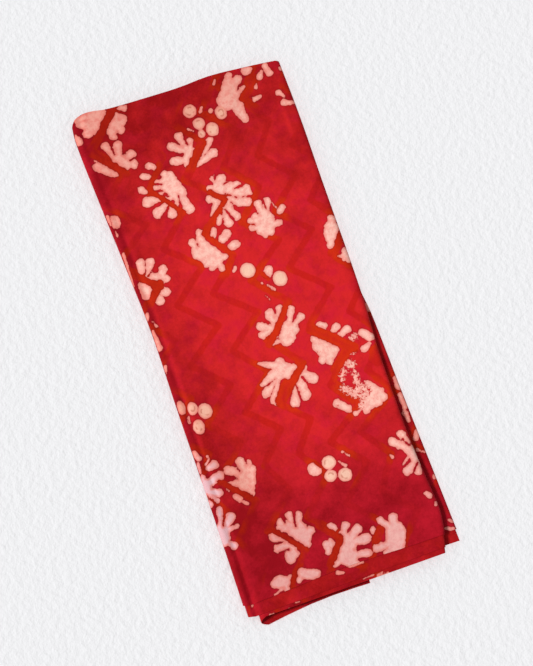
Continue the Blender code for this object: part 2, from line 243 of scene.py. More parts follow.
# Where the zigzag lines turn: a Y, and the X at which each line turns there
TURNS = (
    (324, (-110, -66, -30, 16, 62, 100)), (290, (-68, -25, 12, 48, 92, 129)),
    (256, (-112, -58, -18, 16, 63, 113)), (222, (-82, -38, 8, 48, 85, 135)),
    (188, (-116, -67, -26, 20, 60, 100)), (154, (-81, -38, 13, 50, 92, 128)),
    (122, (-124, -72, -23, 18, 57, 98)), (90, (-88, -38, -2, 50, 88, 122)),
    (57, (-122, -78, -37, 6, 50, 98)), (22, (-93, -43, 2, 38, 86, 125)),
    (-10, (-126, -86, -38, 1, 50, 96)), (-44, (-97, -52, -8, 27, 83, 122)),
    (-77, (-128, -90, -47, -14, 52, 92)), (-107, (-98, -62, -17, 17, 76, 110)),
    (-138, (-120, -98, -47, -8, 28, 62)), (-171, (-100, -67, -30, 12, 58, 85)),
    (-205, (-130, -99, -67, -22, 22, 62)), (-237, (-104, -80, -35, 9, 52, 91)),
    (-268, (-130, -102, -63, -19, 28, 62)), (-300, (-104, -70, -32, 12, 56, 95)),
)
# On the rest of the cloth: length of a wave, lines apart and half swing
FAR_TURNS = (66.0, 43.0, 18.0)
BAR_WIDE = 7.2
# Where a bar is wider
WIDE_BARS = (
    (101, 57, 4, 112, 40, 3.6), (88, 274, 5, 66, 256, 5), (66, 254, 5.5, 78, 238, 5.5),
    (22, 252, 4, 33, 238, 4.6), (40, 285, 3, 47, 274, 4), (50, -80, 5, 68, -104, 5),
    (106, -60, 6, 105, -72, 5.5),
)
# Where a bar cuts the flowers
CUTS = (
    (-70, 296, 4.8, -98, 266, 4.6), (-98, 266, 4.6, -112, 252, 4.2), (-112, 252, 4.4, -83, 216, 4.3),
    (-21, 190, 4.8, 7, 222, 5), (-63, 187, 2.6, -37, 153, 2.6), (-3, 165, 3.4, 9, 153, 3.4),
    (10, 152, 2.8, -9, 137, 2.8), (-9, 137, 2.8, -24, 125, 2.8), (-110, 104, 4, -88, 83, 4),
    (-87, 87, 4.2, -104, 70, 4.4), (-25, 124, 2.8, -3, 92, 2.8), (-3, 90, 3, -16, 72, 3),
    (20, 61, 2.4, 25, 53, 2.6), (119, 74, 4.2, 101, 56, 4.2), (32, 17, 3, 20, 2, 3.8),
    (20, 2, 3.8, 2, -16, 4.2), (29, -48, 3.6, -8, -80, 5.2), (50, -15, 5.8, 86, -49, 5.6),
    (84, -46, 5.2, 60, -65, 5), (-97, -139, 3, -66, -172, 3), (4, -151, 2.2, 11, -162, 1.6),
    (-62, -205, 2.9, -35, -237, 2.9), (-14, -218, 3.4, 4, -238, 3.6), (4, -238, 3.6, -16, -260, 3.8),
    (46, -243, 4.4, 38, -252, 4.8),
)
# Narrow gaps between petals
SLITS = (
    (-88, 241, 0.9, -89, 257, 2.2), (-80, 238, 0.9, -72, 246, 1.8), (-74, 229, 0.9, -65, 231, 1.6),
    (-77, 265, 0.9, -77, 256, 2), (-15, 225, 0.9, -22, 237, 1.8), (-17, 216, 0.9, -31, 224, 1.8),
    (-9, 225, 0.9, -9, 236, 1.6), (64, 267, 1, 74, 274, 1.2), (-50, 192, 0.9, -60, 195, 1.2),
    (-51, 184, 0.9, -60, 187, 1.2), (-47, 176, 0.9, -54, 178, 1.2), (-37, 174, 0.9, -39, 157, 1.8),
    (-35, 113, 0.9, -35, 126, 1.6), (6, 176, 0.9, 10, 185, 1.6), (15, 170, 0.9, 22, 171, 1.4),
    (24, 161, 0.9, 34, 162, 1.4), (12, 159, 0.9, 22, 151, 1.3), (29, 149, 0.9, 39, 147, 1.4),
    (15, 147, 0.9, 22, 134, 1.8), (6, 142, 0.9, 11, 128, 1.8), (49, 128, 0.9, 48, 143, 1.8),
    (39, 125, 0.9, 36, 132, 1.6), (31, 115, 0.9, 23, 118, 1.2), (-97, 99, 0.9, -87, 106, 1.2),
    (19, 11, 0.9, 20, 21, 2), (33, -2, 0.9, 41, 7, 2), (6, -12, 1, 14, -14, 1),
    (-19, -59, 1.2, -5, -54, 0.7), (23, -61, 0.9, 28, -72, 1.8), (14, -66, 0.9, 14, -90, 1.6),
    (106, -169, 1, 102, -161, 1.4), (108, -189, 1, 101, -197, 1.4), (13, -234, 0.9, 22, -227, 1.8),
    (14, -254, 0.9, 30, -254, 1.6), (-46, -203, 0.9, -47, -195, 1.6), (-37, -211, 0.9, -34, -194, 2),
    (-54, -222, 0.9, -69, -219, 1.5), (-52, -231, 1, -64, -232, 1.6), (-73, -137, 0.9, -78, -124, 2),
    (-64, -131, 0.9, -64, -125, 1.2), (-80, -142, 1.2, -90, -140, 1.6), (-90, -122, 1.4, -90, -138, 1.4),
    (-115, -148, 1, -109, -158, 1.2), (-109, -185, 0.9, -104, -174, 1.6),
)

# How far TURNS and CUTS cover the cloth, in S and up to T, and how far a bar reaches past a turn
TURNS_FROM, TURNS_TO, CUTS_ACROSS, CHART_FAR = -150, 132, 150, 320
PAST_TURN = 25

# Broad soft patches, in which the cloth is painted darker or lighter: mostly painted shade towards the far
# end, the near end, the left and right edges and the near corners, a painted shadow and a painted highlight
# along the groove by the left fold, and a painted highlight by a crease on the right, with some unevenness
# of the dye: x, y, reach across and along, share
TONES_AND_PAINTED_LIGHT = (
    (-20, 300, 170, 110, -0.95), (-130, 60, 55, 260, -0.70), (-100, -170, 70, 130, -0.60),
    (20, -300, 140, 120, -0.75), (120, 160, 45, 110, -0.42), (110, -190, 60, 90, -0.30),
    (0, -200, 90, 40, -0.22), (-110, -95, 3, 190, -0.60), (-104, -90, 3, 190, 0.34),
    (-75, -55, 9, 60, -0.16), (104, 212, 2.6, 22, 0.30), (114, 20, 6, 120, -0.30),
    (-114, 80, 5, 95, -0.40),
)
# Where the top panel's tone gives way to that of the rest, on three sides; the rest, all the lower layers,
# is painted darker as painted shade
TONE_LEFT, TONE_RIGHT, TONE_FAR = (-150, -122), (116, 140), (292, 312)
PAINTED_SHADE_ELSEWHERE = 0.25
BROKEN_CORE = 0.6         # share of a broken spot's reach that is wholly broken

# Kept free of scattered flowers: S from and to, T from and to
CLEAR = ((-160, 160, -340, 330), (-900, 2600, 800, 1000))
# Kept free about a place on the right strip too, so far along S and T
STRIP_AT, STRIP_CLEAR = (116.0, -120.0, 0.0), (60.0, 340)
SCATTER_STEP, SCATTER_SWAY = 72.0, 24
SCATTER_PETALS = 6        # fewest petals of a flower that is scattered
SCATTER_SEED = 11

FAR_AWAY = 60.0           # the most that a distance from a shape says
PETAL_ROOT = 0.65         # half width of a petal at its root, as a share of that at its tip
LEAST_ROOT = 2.6          # and the least that it is
FUSED = 1.2               # softness of the joint between a flower's middle and its petals

# The photograph's view
PHOTO_SIZE = (533, 666)
VIEW_AZIMUTH = radians(-19.35)
VIEW_ELEVATION = radians(78.0)
VIEW_DISTANCE = 2.2
VIEW_TARGET = Vector((0.00345, -0.0023, 0.010))
MM_PER_PIXEL = 1.08
SENSOR = 36.0

# Light
SUN_FROM = Vector((-0.80, 0.14, 1.0))
SUN_STRENGTH, SUN_WIDTH = 2.72, radians(15)
WORLD_STRENGTH = 0.36


def linear(red, green, blue):
    """A screen colour, 0 to 255 each, as the linear colour that the shader takes."""
    parts = [c / 255.0 for c in (red, green, blue)]
    return tuple(c / 12.92 if c <= 0.04045 else ((c + 0.055) / 1.055) ** 2.4 for c in parts) + (1.0,)


def smooth(value, start, end):
    """From 0 at start to 1 at end, with soft ends."""
    share = np.clip((value - start) / (end - start), 0.0, 1.0)
    return share * share * (3.0 - 2.0 * share)


def along_curve(places, at):
    """The smooth curve through a table of places, read at many points."""
    ats, edges = np.array(places).T
    last, numbers = len(places) - 1, np.arange(len(places))
    before, after = np.maximum(numbers - 1, 0), np.minimum(numbers + 1, last)
    slopes = (edges[after] - edges[before]) / (ats[after] - ats[before])
    at = np.clip(at, ats[0], ats[-1])
    k = np.clip(np.searchsorted(ats, at, side="right") - 1, 0, last - 1)
    span = ats[k + 1] - ats[k]
    u = (at - ats[k]) / span
    rise = u * u * (3.0 - 2.0 * u)
    pulls = u * (1.0 - u) ** 2 * span * slopes[k] - u * u * (1.0 - u) * span * slopes[k + 1]
    return edges[k] * (1.0 - rise) + edges[k + 1] * rise + pulls


def level_height(level):
    """Height of a panel's middle above the table."""
    return SHEET / 2 + level * PITCH


def fold_reach(pitches):
    """How far a nest of folds reaches out from the line that they turn around."""
    return (pitches / 2 * PITCH + SHEET / 2) * FOLD_STRETCH


def left_axis(index, y):
    """X of the line that the left fold of a panel turns around."""
    axis = along_curve(LEFT_EDGE, y) + fold_reach(PANELS[TOP].level)
    if index <= TOP:
        return axis
    return axis + INNER_FOLD_INSET * (1.0 - smooth(y, INSET_NEAR, INSET_FAR))


def last_cut(y):
    """X where the last panel is cut off."""
    near = PANELS[LAST].near_end
    share = (y - near) / (FAR_MIDDLE - near)
    return LAST_CUT_NEAR + (LAST_CUT_FAR - LAST_CUT_NEAR) * share


def right_limit(index, y):
    """X where a panel ends on the right: at a fold's line or at a cut end."""
    if index == 0:
        return np.full_like(y, FIRST_CUT)
    if index == LAST:
        return last_cut(y)
    if PANELS[index].level >= UPPER_FROM:
        return along_curve(UPPER_RIGHT_EDGE, y) - fold_reach(UPPER_NEST)
    return along_curve(LOWER_RIGHT_EDGE, y) - fold_reach(LOWER_NEST)


def lie(x, y, z):
    """Moves points of the tidy stack to where the cloth really lies."""
    share = np.ones_like(x)
    for at_x, at_y, wide, long, turn, more in SWELLS:
        dx, dy = x - at_x, y - at_y
        across = (dx * cos(turn) + dy * sin(turn)) / wide
        along = (dy * cos(turn) - dx * sin(turn)) / long
        share += more * np.exp(-across * across - along * along)
    from_groove = (x - along_curve(LEFT_EDGE, y) - GROOVE_INSIDE) / GROOVE_WIDTH
    near = 1.0 - smooth(y, *GROOVE_DEEPENS)
    depth = GROOVE_SHARE + (GROOVE_NEAR_SHARE - GROOVE_SHARE) * near
    share -= depth * np.exp(-from_groove * from_groove)
    at_near_right = smooth(x, *LIFT_ACROSS) * (1.0 - smooth(y, *LIFT_ALONG))
    raised = LIFT * at_near_right * smooth(z, (UPPER_FROM - 1) * PITCH + SHEET, UPPER_FROM * PITCH)
    past_cut = smooth(x, last_cut(y) + SETTLE_FROM, last_cut(y) + SETTLE_TO)
    above_last = (PANELS[LAST].level + 1) * PITCH
    over_cut = np.clip((z - SHEET) / (above_last - SHEET), 0.0, 1.0)
    return (z + raised - SETTLE * past_cut * over_cut) * share


class Lattice:
    """Columns along the strip and rows across the cloth, with the few that most of it uses."""

    def __init__(self):
        self.sections, self.section, self.share, self.coarse = [], [], [], []
        for index, panel in enumerate(PANELS):
            coarse = COARSE_TOP if index == TOP else COARSE_PANEL
            if panel.goes == "left":
                coarse = [PANEL_LINES - k for k in coarse]
            self.add("panel", index, range(PANEL_LINES + 1), PANEL_LINES, coarse)
            if index < LAST:
                lines = FOLD_LINES[index]
                self.add("fold", index, range(1, lines), lines, range(0, lines, 1 if index > TOP else 2))
        self.section = np.array(self.section)
        self.share = np.array(self.share)
        self.rows = 2 * ROW_LINES + BEND_LINES
        upper = {*range(0, ROW_LINES + 1, ROW_STRIDE), ROW_STRIDE // 2, ROW_LINES - ROW_STRIDE // 2}
        self.coarse_rows = sorted(
            upper | {self.rows - row for row in upper} | set(range(ROW_LINES, ROW_LINES + BEND_LINES)))

    def add(self, kind, index, numbers, lines, coarse):
        """Adds a section's columns. A fold's first and last are those of its panels."""
        self.sections.append((kind, index, len(self.share)))
        for k in numbers:
            if k in coarse:
                self.coarse.append(len(self.share))
            self.section.append(len(self.sections) - 1)
            self.share.append(k / lines)

    def parts(self, columns):
        """Each section's kind and panel, which of the columns lie in it, and their shares of it."""
        for number, (kind, index, _) in enumerate(self.sections):
            chosen = self.section[columns] == number
            if chosen.any():
                yield kind, index, chosen, self.share[columns[chosen]]

    def span(self, index):
        """The first and last columns of a panel."""
        start = next(first for kind, i, first in self.sections if (kind, i) == ("panel", index))
        return start, start + PANEL_LINES


def patches(lattice):
    """Where the print shows and the mesh is fine: face, columns, rows and step."""
    left, right = lattice.span(TOP - 1)[1], lattice.span(TOP + 1)[0]
    strip = lattice.span(RIGHT_STRIP)[1] - STRIP_LINES, lattice.span(RIGHT_STRIP + 1)[0]
    upper, selvedge = (0, ROW_LINES), (lattice.rows - ROW_STRIDE, lattice.rows)
    return (
        (1, left, right, *upper, 1),
        (1, 0, left, *upper, 2),
        (-1, left, right, *selvedge, 1),
        (1, *strip, *upper, 1),
        (-1, *lattice.span(LAST), *selvedge, 2),
        (1, *lattice.span(LAST - 1), *selvedge, 2),
    )


def pairs(marks):
    """Each of the marks with the next."""
    return list(zip(marks[:-1], marks[1:]))


def lattice_cells(lattice, face, fine):
    """The cells of one face of the cloth, split where it is fine."""
    cells = []
    for c0, c1 in pairs(lattice.coarse):
        for r0, r1 in pairs(lattice.coarse_rows):
            steps = [step for side, ca, cb, ra, rb, step in fine
                     if side == face and ca <= c0 and c1 <= cb and ra <= r0 and r1 <= rb]
            if steps:
                columns, rows = (pairs([*range(a, b, steps[0]), b]) for a, b in ((c0, c1), (r0, r1)))
            else:
                columns, rows = [(c0, c1)], [(r0, r1)]
            cells += [column + row for column in columns for row in rows]
    return cells


def cell_ring(cell, used):
    """The lattice points round a cell that the mesh has, in order."""
    c0, c1, r0, r1 = cell
    ring = [(c, r0) for c in range(c0, c1)] + [(c1, r) for r in range(r0, r1)]
    ring += [(c, r1) for c in range(c1, c0, -1)] + [(c0, r) for r in range(r1, r0, -1)]
    return [point for point in ring if point in used]


def sheet_faces(lattice):
    """All faces of the closed sheet, and the lattice place of each point."""
    faces, used, numbers = [], {}, {}
    for face in (1, -1):
        cells = lattice_cells(lattice, face, patches(lattice))
        used[face] = {(c, r) for c0, c1, r0, r1 in cells for c in (c0, c1) for r in (r0, r1)}
        for cell in cells:
            ring = [(face,) + point for point in cell_ring(cell, used[face])]
            faces.append(ring if face > 0 else ring[::-1])

    def wall(points, flip):
        """The narrow face between both faces of the cloth, along a row of lattice points."""
        out = [(1,) + point for point in points if point in used[1]]
        back = [(-1,) + point for point in points[::-1] if point in used[-1]]
        faces.append((out + back)[::-1] if flip else out + back)

    for c0, c1 in pairs(lattice.coarse):
        for row in (0, lattice.rows):
            wall([(c, row) for c in range(c0, c1 + 1)], row == 0)
    for r0, r1 in pairs(lattice.coarse_rows):
        for column in (0, lattice.coarse[-1]):
            wall([(column, r) for r in range(r0, r1 + 1)], column > 0)
    faces = [[numbers.setdefault(key, len(numbers)) for key in ring] for ring in faces]
    return faces, np.array(list(numbers))


def row_place(rows):
    """For each row: share of the way to the far end, and angle round the bend."""
    upper = rows <= ROW_LINES
    lower = rows >= ROW_LINES + BEND_LINES
    share = np.ones(len(rows))
    share[upper] = rows[upper] / ROW_LINES
    share[lower] = 1.0 - (rows[lower] - ROW_LINES - BEND_LINES) / ROW_LINES
    angle = np.clip((rows - ROW_LINES) / BEND_LINES, 0.0, 1.0) * pi
    return share, angle


def column_x(lattice, columns, y, offset):
    """X and Z of points at an offset from the middle of their panel, + on the upper cloth's side."""
    x, z = np.zeros(len(columns)), np.zeros(len(columns))
    for kind, index, chosen, share in lattice.parts(columns):
        panel, at, off = PANELS[index], y[chosen], offset[chosen]
        left, right = left_axis(index, at), right_limit(index, at)
        if kind == "panel":
            rightwards = panel.goes == "right"
            x[chosen] = left + (right - left) * (share if rightwards else 1.0 - share)
            z[chosen] = level_height(panel.level) + (off if rightwards else -off)
            continue
        after = PANELS[index + 1]
        rising = 1.0 if after.level > panel.level else -1.0
        outwards = -1.0 if panel.goes == "left" else 1.0
        radius = abs(after.level - panel.level) * PITCH / 2 - rising * outwards * off
        angle = rising * (share - 0.5) * pi
        axis = left if panel.goes == "left" else right
        x[chosen] = axis + outwards * radius * np.cos(angle) * FOLD_STRETCH
        middle = (level_height(panel.level) + level_height(after.level)) / 2
        z[chosen] = middle + radius * np.sin(angle)
    return x, z


def column_ends(lattice, columns):
    """Near edge of the lower cloth, and how far the far edge stays back, for each column."""
    near, back = np.zeros(len(columns)), np.zeros(len(columns))
    for kind, index, chosen, share in lattice.parts(columns):
        panel = PANELS[index]
        if kind == "panel":
            drawn_in = panel.bow * np.sin(pi * share)
            near[chosen] = panel.near_start + (panel.near_end - panel.near_start) * share + drawn_in
            back[chosen] = panel.far_back
        else:
            after = PANELS[index + 1]
            near[chosen] = panel.near_end + (after.near_start - panel.near_end) * share
            back[chosen] = panel.far_back + (after.far_back - panel.far_back) * share
    return near, back


def bend_axes(lattice, columns):
    """Y of the axis that the cloth is doubled about, for each column."""
    _, back = column_ends(lattice, columns)
    far_x, _ = column_x(lattice, columns, np.full(len(columns), FAR_MIDDLE), np.zeros(len(columns)))
    return along_curve(FAR_EDGE, far_x) - back - CLOTH_APART - CLOTH_THICK / 2


def sheet_places(lattice, keys):
    """Place in the frame and flat cloth coordinates of every point."""
    faces, columns, rows = keys[:, 0], keys[:, 1], keys[:, 2]
    share, angle = row_place(rows)
    near, _ = column_ends(lattice, columns)
    radius = CLOTH_APART + faces * CLOTH_THICK / 2
    bend_axis = bend_axes(lattice, columns)
    start_x, _ = column_x(lattice, columns, near, np.zeros(len(keys)))
    bowed = SELVEDGE_BOW * np.exp(-((start_x - SELVEDGE_MIDDLE) / SELVEDGE_SPREAD) ** 2)
    near = near + (SELVEDGE_BACK + bowed) * (angle < pi / 2)
    y = near + (bend_axis - near) * share + radius * np.sin(angle)
    x, z = column_x(lattice, columns, y, radius * np.cos(angle))
    flat = flat_places(lattice, columns, y, bend_axis, angle, x)
    return np.column_stack([x, y, lie(x, y, z)]), flat


def strip_lengths(lattice):
    """Length along the strip to each column, half way along the cloth."""
    every = np.arange(len(lattice.share))
    x, z = column_x(lattice, every, np.zeros(len(every)), np.zeros(len(every)))
    return np.concatenate([[0.0], np.cumsum(np.hypot(np.diff(x), np.diff(z)))])


def flat_places(lattice, columns, y, bend_axis, angle, x):
    """S and T of points, in millimetres."""
    length = strip_lengths(lattice)
    first, last = lattice.span(TOP)
    s = x.copy()
    before, after = columns < first, columns > last
    s[before] = left_axis(TOP, y[before]) + (length[columns] - length[first])[before]
    s[after] = right_limit(TOP, y[after]) + (length[columns] - length[last])[after]
    t = np.where(angle > pi / 2, 2 * bend_axis - y, y)
    return np.column_stack([s, t]) * 1000.0


def place_on(lattice, index, lower, x, y, half):
    """S, T and half width of a printed end that lies on a panel at x and y, in millimetres."""
    at = np.array([y / 1000.0])
    rightwards = PANELS[index].goes == "right"
    left, right = left_axis(index, at)[0], right_limit(index, at)[0]
    share = min(max((x / 1000.0 - left) / (right - left), 0.0), 1.0)
    line = round((share if rightwards else 1.0 - share) * PANEL_LINES)
    column = np.array([lattice.span(index)[0] + line])
    column_at, _ = column_x(lattice, column, at, np.zeros(1))
    angle = np.array([pi if lower else 0.0])
    s, t = flat_places(lattice, column, at, bend_axes(lattice, column), angle, column_at)[0]
    beyond = max(x - 1000.0 * right, 0.0) if rightwards else 0.0
    return s + beyond, t, half


def stroke_distance(points, x0, y0, half0, x1, y1, half1):
    """Distance from a stroke between two round ends; negative inside."""
    at, way = np.array([x0, y0], float), np.array([x1 - x0, y1 - y0], float)
    share = np.clip((points - at) @ way / (way @ way), 0.0, 1.0)
    gap = points - at - share[:, None] * way
    return np.hypot(gap[:, 0], gap[:, 1]) - half0 - (half1 - half0) * share


def soft_union(first, second, softness):
    """The nearer of two distances, with a fillet where they meet."""
    meet = np.clip(0.5 + 0.5 * (second - first) / softness, 0.0, 1.0)
    return second * (1.0 - meet) + first * meet - softness * meet * (1.0 - meet)


def petal_stroke(flower, tip):
    """From a petal's narrow root, at the hub or the body, to the middle of its round end."""
    x, y, half = tip
    at = min((flower.hub, flower.body), key=lambda p: np.hypot(x - p[0], y - p[1]))
    way = np.array([x - at[0], y - at[1]])
    end = np.array([x, y]) - way / np.hypot(*way) * half
    return at[0], at[1], max(half * PETAL_ROOT, LEAST_ROOT), end[0], end[1], half


class Print:
    """Distances of every cloth point from the printed shapes, in millimetres."""

    def __init__(self, flat):
        self.flat = flat
        self.shapes = {name: np.full(len(flat), FAR_AWAY) for name in ("petals", "between", "dots")}

    def near(self, x, y, *_):
        """The points that a shape about x and y can reach."""
        return np.nonzero((np.abs(self.flat - (x, y)) < FAR_AWAY).all(axis=1))[0]

    def add(self, name, chosen, distance):
        field = self.shapes[name]
        field[chosen] = np.minimum(field[chosen], distance)

    def flower(self, flower):
        chosen = self.near(*flower.hub)
        points = self.flat[chosen]
        middle = stroke_distance(points, *flower.hub, *flower.body)
        for turn, name in enumerate(("petals", "between")):
            fan = np.full(len(chosen), FAR_AWAY)
            for tip in flower.tips[turn::2]:
                fan = np.minimum(fan, stroke_distance(points, *petal_stroke(flower, tip)))
            self.add(name, chosen, soft_union(fan, middle, FUSED))

    def bit(self, name, ends):
        chosen = self.near(*ends)
        self.add(name, chosen, stroke_distance(self.flat[chosen], *ends))

    def slit(self, ends):
        chosen = self.near(*ends)
        gap = stroke_distance(self.flat[chosen], *ends)
        for field in self.shapes.values():
            field[chosen] = np.maximum(field[chosen], -gap)

    def dot(self, x, y, wide, tall):
        chosen = self.near(x, y)
        dx, dy = (self.flat[chosen] - (x, y)).T
        self.add("dots", chosen, (np.hypot(dx / wide, dy / tall) - 1.0) * min(wide, tall))


def turned(flower, hub, angle):
    """The same flower about another middle, turned."""
    c, s = cos(angle), sin(angle)

    def moved(point):
        dx, dy = point[0] - flower.hub[0], point[1] - flower.hub[1]
        return hub[0] + c * dx - s * dy, hub[1] + s * dx + c * dy, point[2]

    return Flower(moved(flower.hub), moved(flower.body), [moved(tip) for tip in flower.tips])


def scattered_flowers(flat, clear):
    """Flowers over the rest of the cloth, set out loosely and never in the clear places."""
    rng = np.random.default_rng(SCATTER_SEED)
    whole = [flower for flower in FLOWERS if len(flower.tips) >= SCATTER_PETALS]
    s_range, t_range = (np.arange(values.min(), values.max(), SCATTER_STEP) for values in flat.T)
    for s in s_range:
        for t in t_range:
            hub_s = s + rng.uniform(-SCATTER_SWAY, SCATTER_SWAY)
            hub_t = t + rng.uniform(-SCATTER_SWAY, SCATTER_SWAY)
            flower = whole[rng.integers(len(whole))]
            angle = rng.uniform(0, 2 * pi)
            if not any(s0 < hub_s < s1 and t0 < hub_t < t1 for s0, s1, t0, t1 in clear):
                yield turned(flower, (hub_s, hub_t), angle)


def bar_distance(flat):
    """Distance from the edge of the zigzag bars; negative on a bar."""
    s, t = flat.T
    wave, apart, swing = FAR_TURNS
    saw = np.abs((t / wave) % 1.0 - 0.5) * 4.0 - 1.0
    across = (s - swing * saw + apart / 2) % apart - apart / 2
    distance = np.abs(across) / np.hypot(1.0, 4 * swing / wave) - BAR_WIDE / 2
    charted = (s > TURNS_FROM) & (s < TURNS_TO) & (t < CHART_FAR)
    points = flat[charted]
    nearest = np.full(len(points), FAR_AWAY)
    for (upper, starts), (lower, ends) in pairs(TURNS):
        band = np.nonzero((points[:, 1] < upper + PAST_TURN) & (points[:, 1] > lower - PAST_TURN))[0]
        for start, end in zip(starts, ends):
            bar = stroke_distance(points[band], start, upper, BAR_WIDE / 2, end, lower, BAR_WIDE / 2)
            nearest[band] = np.minimum(nearest[band], bar)
    for ends in WIDE_BARS + CUTS:
        nearest = np.minimum(nearest, stroke_distance(points, *ends))
    distance[charted] = nearest
    return distance


def cut_distance(flat):
    """Distance from the edge of the cuts across the flowers; negative on a cut."""
    distance = np.full(len(flat), FAR_AWAY)
    top = np.nonzero((np.abs(flat[:, 0]) < CUTS_ACROSS) & (flat[:, 1] < CHART_FAR))[0]
    for ends in CUTS:
        distance[top] = np.minimum(distance[top], stroke_distance(flat[top], *ends))
    return distance


def tone_and_painted_light_share(flat):
    """How light the cloth is painted, from 0 to 1: painted shade and highlights with some unevenness of the
    dye on the top panel, and painted shade on the rest.
    """
    s, t = flat.T
    share = np.ones(len(flat))
    for x, y, across, along, more in TONES_AND_PAINTED_LIGHT:
        share += more * np.exp(-((s - x) / across) ** 2 - ((t - y) / along) ** 2)
    on_top = smooth(s, *TONE_LEFT) * (1.0 - smooth(s, *TONE_RIGHT)) * (1.0 - smooth(t, *TONE_FAR))
    return np.clip(share * on_top + PAINTED_SHADE_ELSEWHERE * (1.0 - on_top), 0.0, 1.0)


def broken_share(flat):
    """How far the wax is broken up, from 0 to 1."""
    share = np.zeros(len(flat))
    for x, y, reach in BROKEN:
        gap = np.hypot(flat[:, 0] - x, flat[:, 1] - y)
        share = np.maximum(share, 1.0 - smooth(gap, BROKEN_CORE * reach, reach))
    return share


def print_cloth(lattice, flat):
    """Every value that the material reads, for each point of the cloth."""
    printed = Print(flat)
    for flower in FLOWERS:
        printed.flower(flower)
    for number, ends in enumerate(BITS):
        printed.bit(("petals", "between")[number % 2], ends)
    for (panel, lower), bits in EDGE_BITS.items():
        for ends in bits:
            start, end = (place_on(lattice, panel, lower, *part) for part in (ends[:3], ends[3:]))
            printed.bit("petals", start + end)
    for dot in DOTS:
        printed.dot(*dot)
    for ends in SLITS:
        printed.slit(ends)
    strip_s = place_on(lattice, RIGHT_STRIP, False, *STRIP_AT)[0]
    half_s, half_t = STRIP_CLEAR
    strip = (strip_s - half_s, strip_s + half_s, -half_t, half_t)
    for flower in scattered_flowers(flat, CLEAR + (strip,)):
        printed.flower(flower)
    return {**printed.shapes, "bars": bar_distance(flat), "cuts": cut_distance(flat),
            "tone_and_painted_light": tone_and_painted_light_share(flat), "broken": broken_share(flat)}


# Shares of the bake's map: the sections of the strip across it, the rows of each face up it
MAP_SECTIONS = {("panel", TOP): 0.40, ("panel", 0): 0.36, ("fold", 0): 0.035, ("fold", 1): 0.015}
MAP_PANEL, MAP_FOLD, MAP_STRIP = 0.014, 0.006, 0.035
MAP_MARGIN, MAP_WIDE = 0.002, 0.996
MAP_OUTER = (0.002, 0.800, 0.812, 0.850, 0.876)
MAP_INNER = (0.910, 0.935, 0.937, 0.962, 0.998)
MAP_ENDS, MAP_SIDES, MAP_WALL, MAP_WALL_APART = 0.880, 0.894, 0.004, 0.006


def map_across(lattice):
    """How far across the bake's map each column of the cloth lies, from 0 to 1."""
    steps = np.zeros(len(lattice.share))
    for kind, index, first in lattice.sections:
        lines = PANEL_LINES if kind == "panel" else FOLD_LINES[index]
        wide = MAP_SECTIONS.get((kind, index), MAP_PANEL if kind == "panel" else MAP_FOLD)
        start = first + 1 if kind == "panel" else first
        steps[start:start + lines] += wide / lines
    strip_end = lattice.span(RIGHT_STRIP)[1] + 1
    steps[strip_end - STRIP_LINES:strip_end] += MAP_STRIP / STRIP_LINES
    across = np.cumsum(steps)
    return MAP_MARGIN + across / across[-1] * MAP_WIDE


def map_up(rows, face):
    """How far up the bake's map each row of the outer (+1) or inner (-1) face lies, from 0 to 1."""
    last = rows.max()
    marks = (0, ROW_LINES, ROW_LINES + BEND_LINES, last - ROW_STRIDE, last)
    return np.interp(rows, marks, MAP_OUTER if face > 0 else MAP_INNER)


def bake_places(lattice, keys, faces):
    """Where every corner of every face lies on the bake's map."""
    across, rows = map_across(lattice), np.arange(lattice.rows + 1)
    along = MAP_MARGIN + rows / lattice.rows * MAP_WIDE
    up = {face: map_up(rows, face) for face in (1, -1)}
    places = []
    for ring in faces:
        corners = keys[ring]
        if len(set(corners[:, 0])) == 1:
            places += [(across[c], up[f][r]) for f, c, r in corners]
            continue
        if len(set(corners[:, 2])) == 1:
            low, shares = MAP_ENDS + MAP_WALL_APART * (corners[0, 2] > 0), across[corners[:, 1]]
        else:
            low, shares = MAP_SIDES + MAP_WALL_APART * (corners[0, 1] > 0), along[corners[:, 2]]
        places += [(s, low + MAP_WALL * (f > 0)) for s, f in zip(shares, corners[:, 0])]
    return np.array(places)


def place_object(name, data):
    """A new object in the scene."""
    item = bpy.data.objects.new(name, data)
    bpy.context.scene.collection.objects.link(item)
    return item


def build_cloth():
    lattice = Lattice()
    faces, keys = sheet_faces(lattice)
    places, flat = sheet_places(lattice, keys)
    mesh = bpy.data.meshes.new("batik_cloth")
    mesh.from_pydata(places.tolist(), [], faces)
    mesh.update()
    mesh.shade_smooth()
    mesh.set_sharp_from_angle(angle=SHARP_ANGLE)
    for name, data in print_cloth(lattice, flat).items():
        mesh.attributes.new(name, "FLOAT", "POINT").data.foreach_set("value", data.astype(np.float32))
    bake_map = mesh.uv_layers.new(name="OFBake")
    bake_map.uv.foreach_set("vector", bake_places(lattice, keys, faces).astype(np.float32).ravel())
    spread = np.column_stack([flat, np.zeros(len(flat))]).astype(np.float32)
    mesh.attributes.new("flat", "FLOAT_VECTOR", "POINT").data.foreach_set("vector", spread.ravel())
    mesh.materials.append(cloth_material())
    return place_object("batik_cloth", mesh)


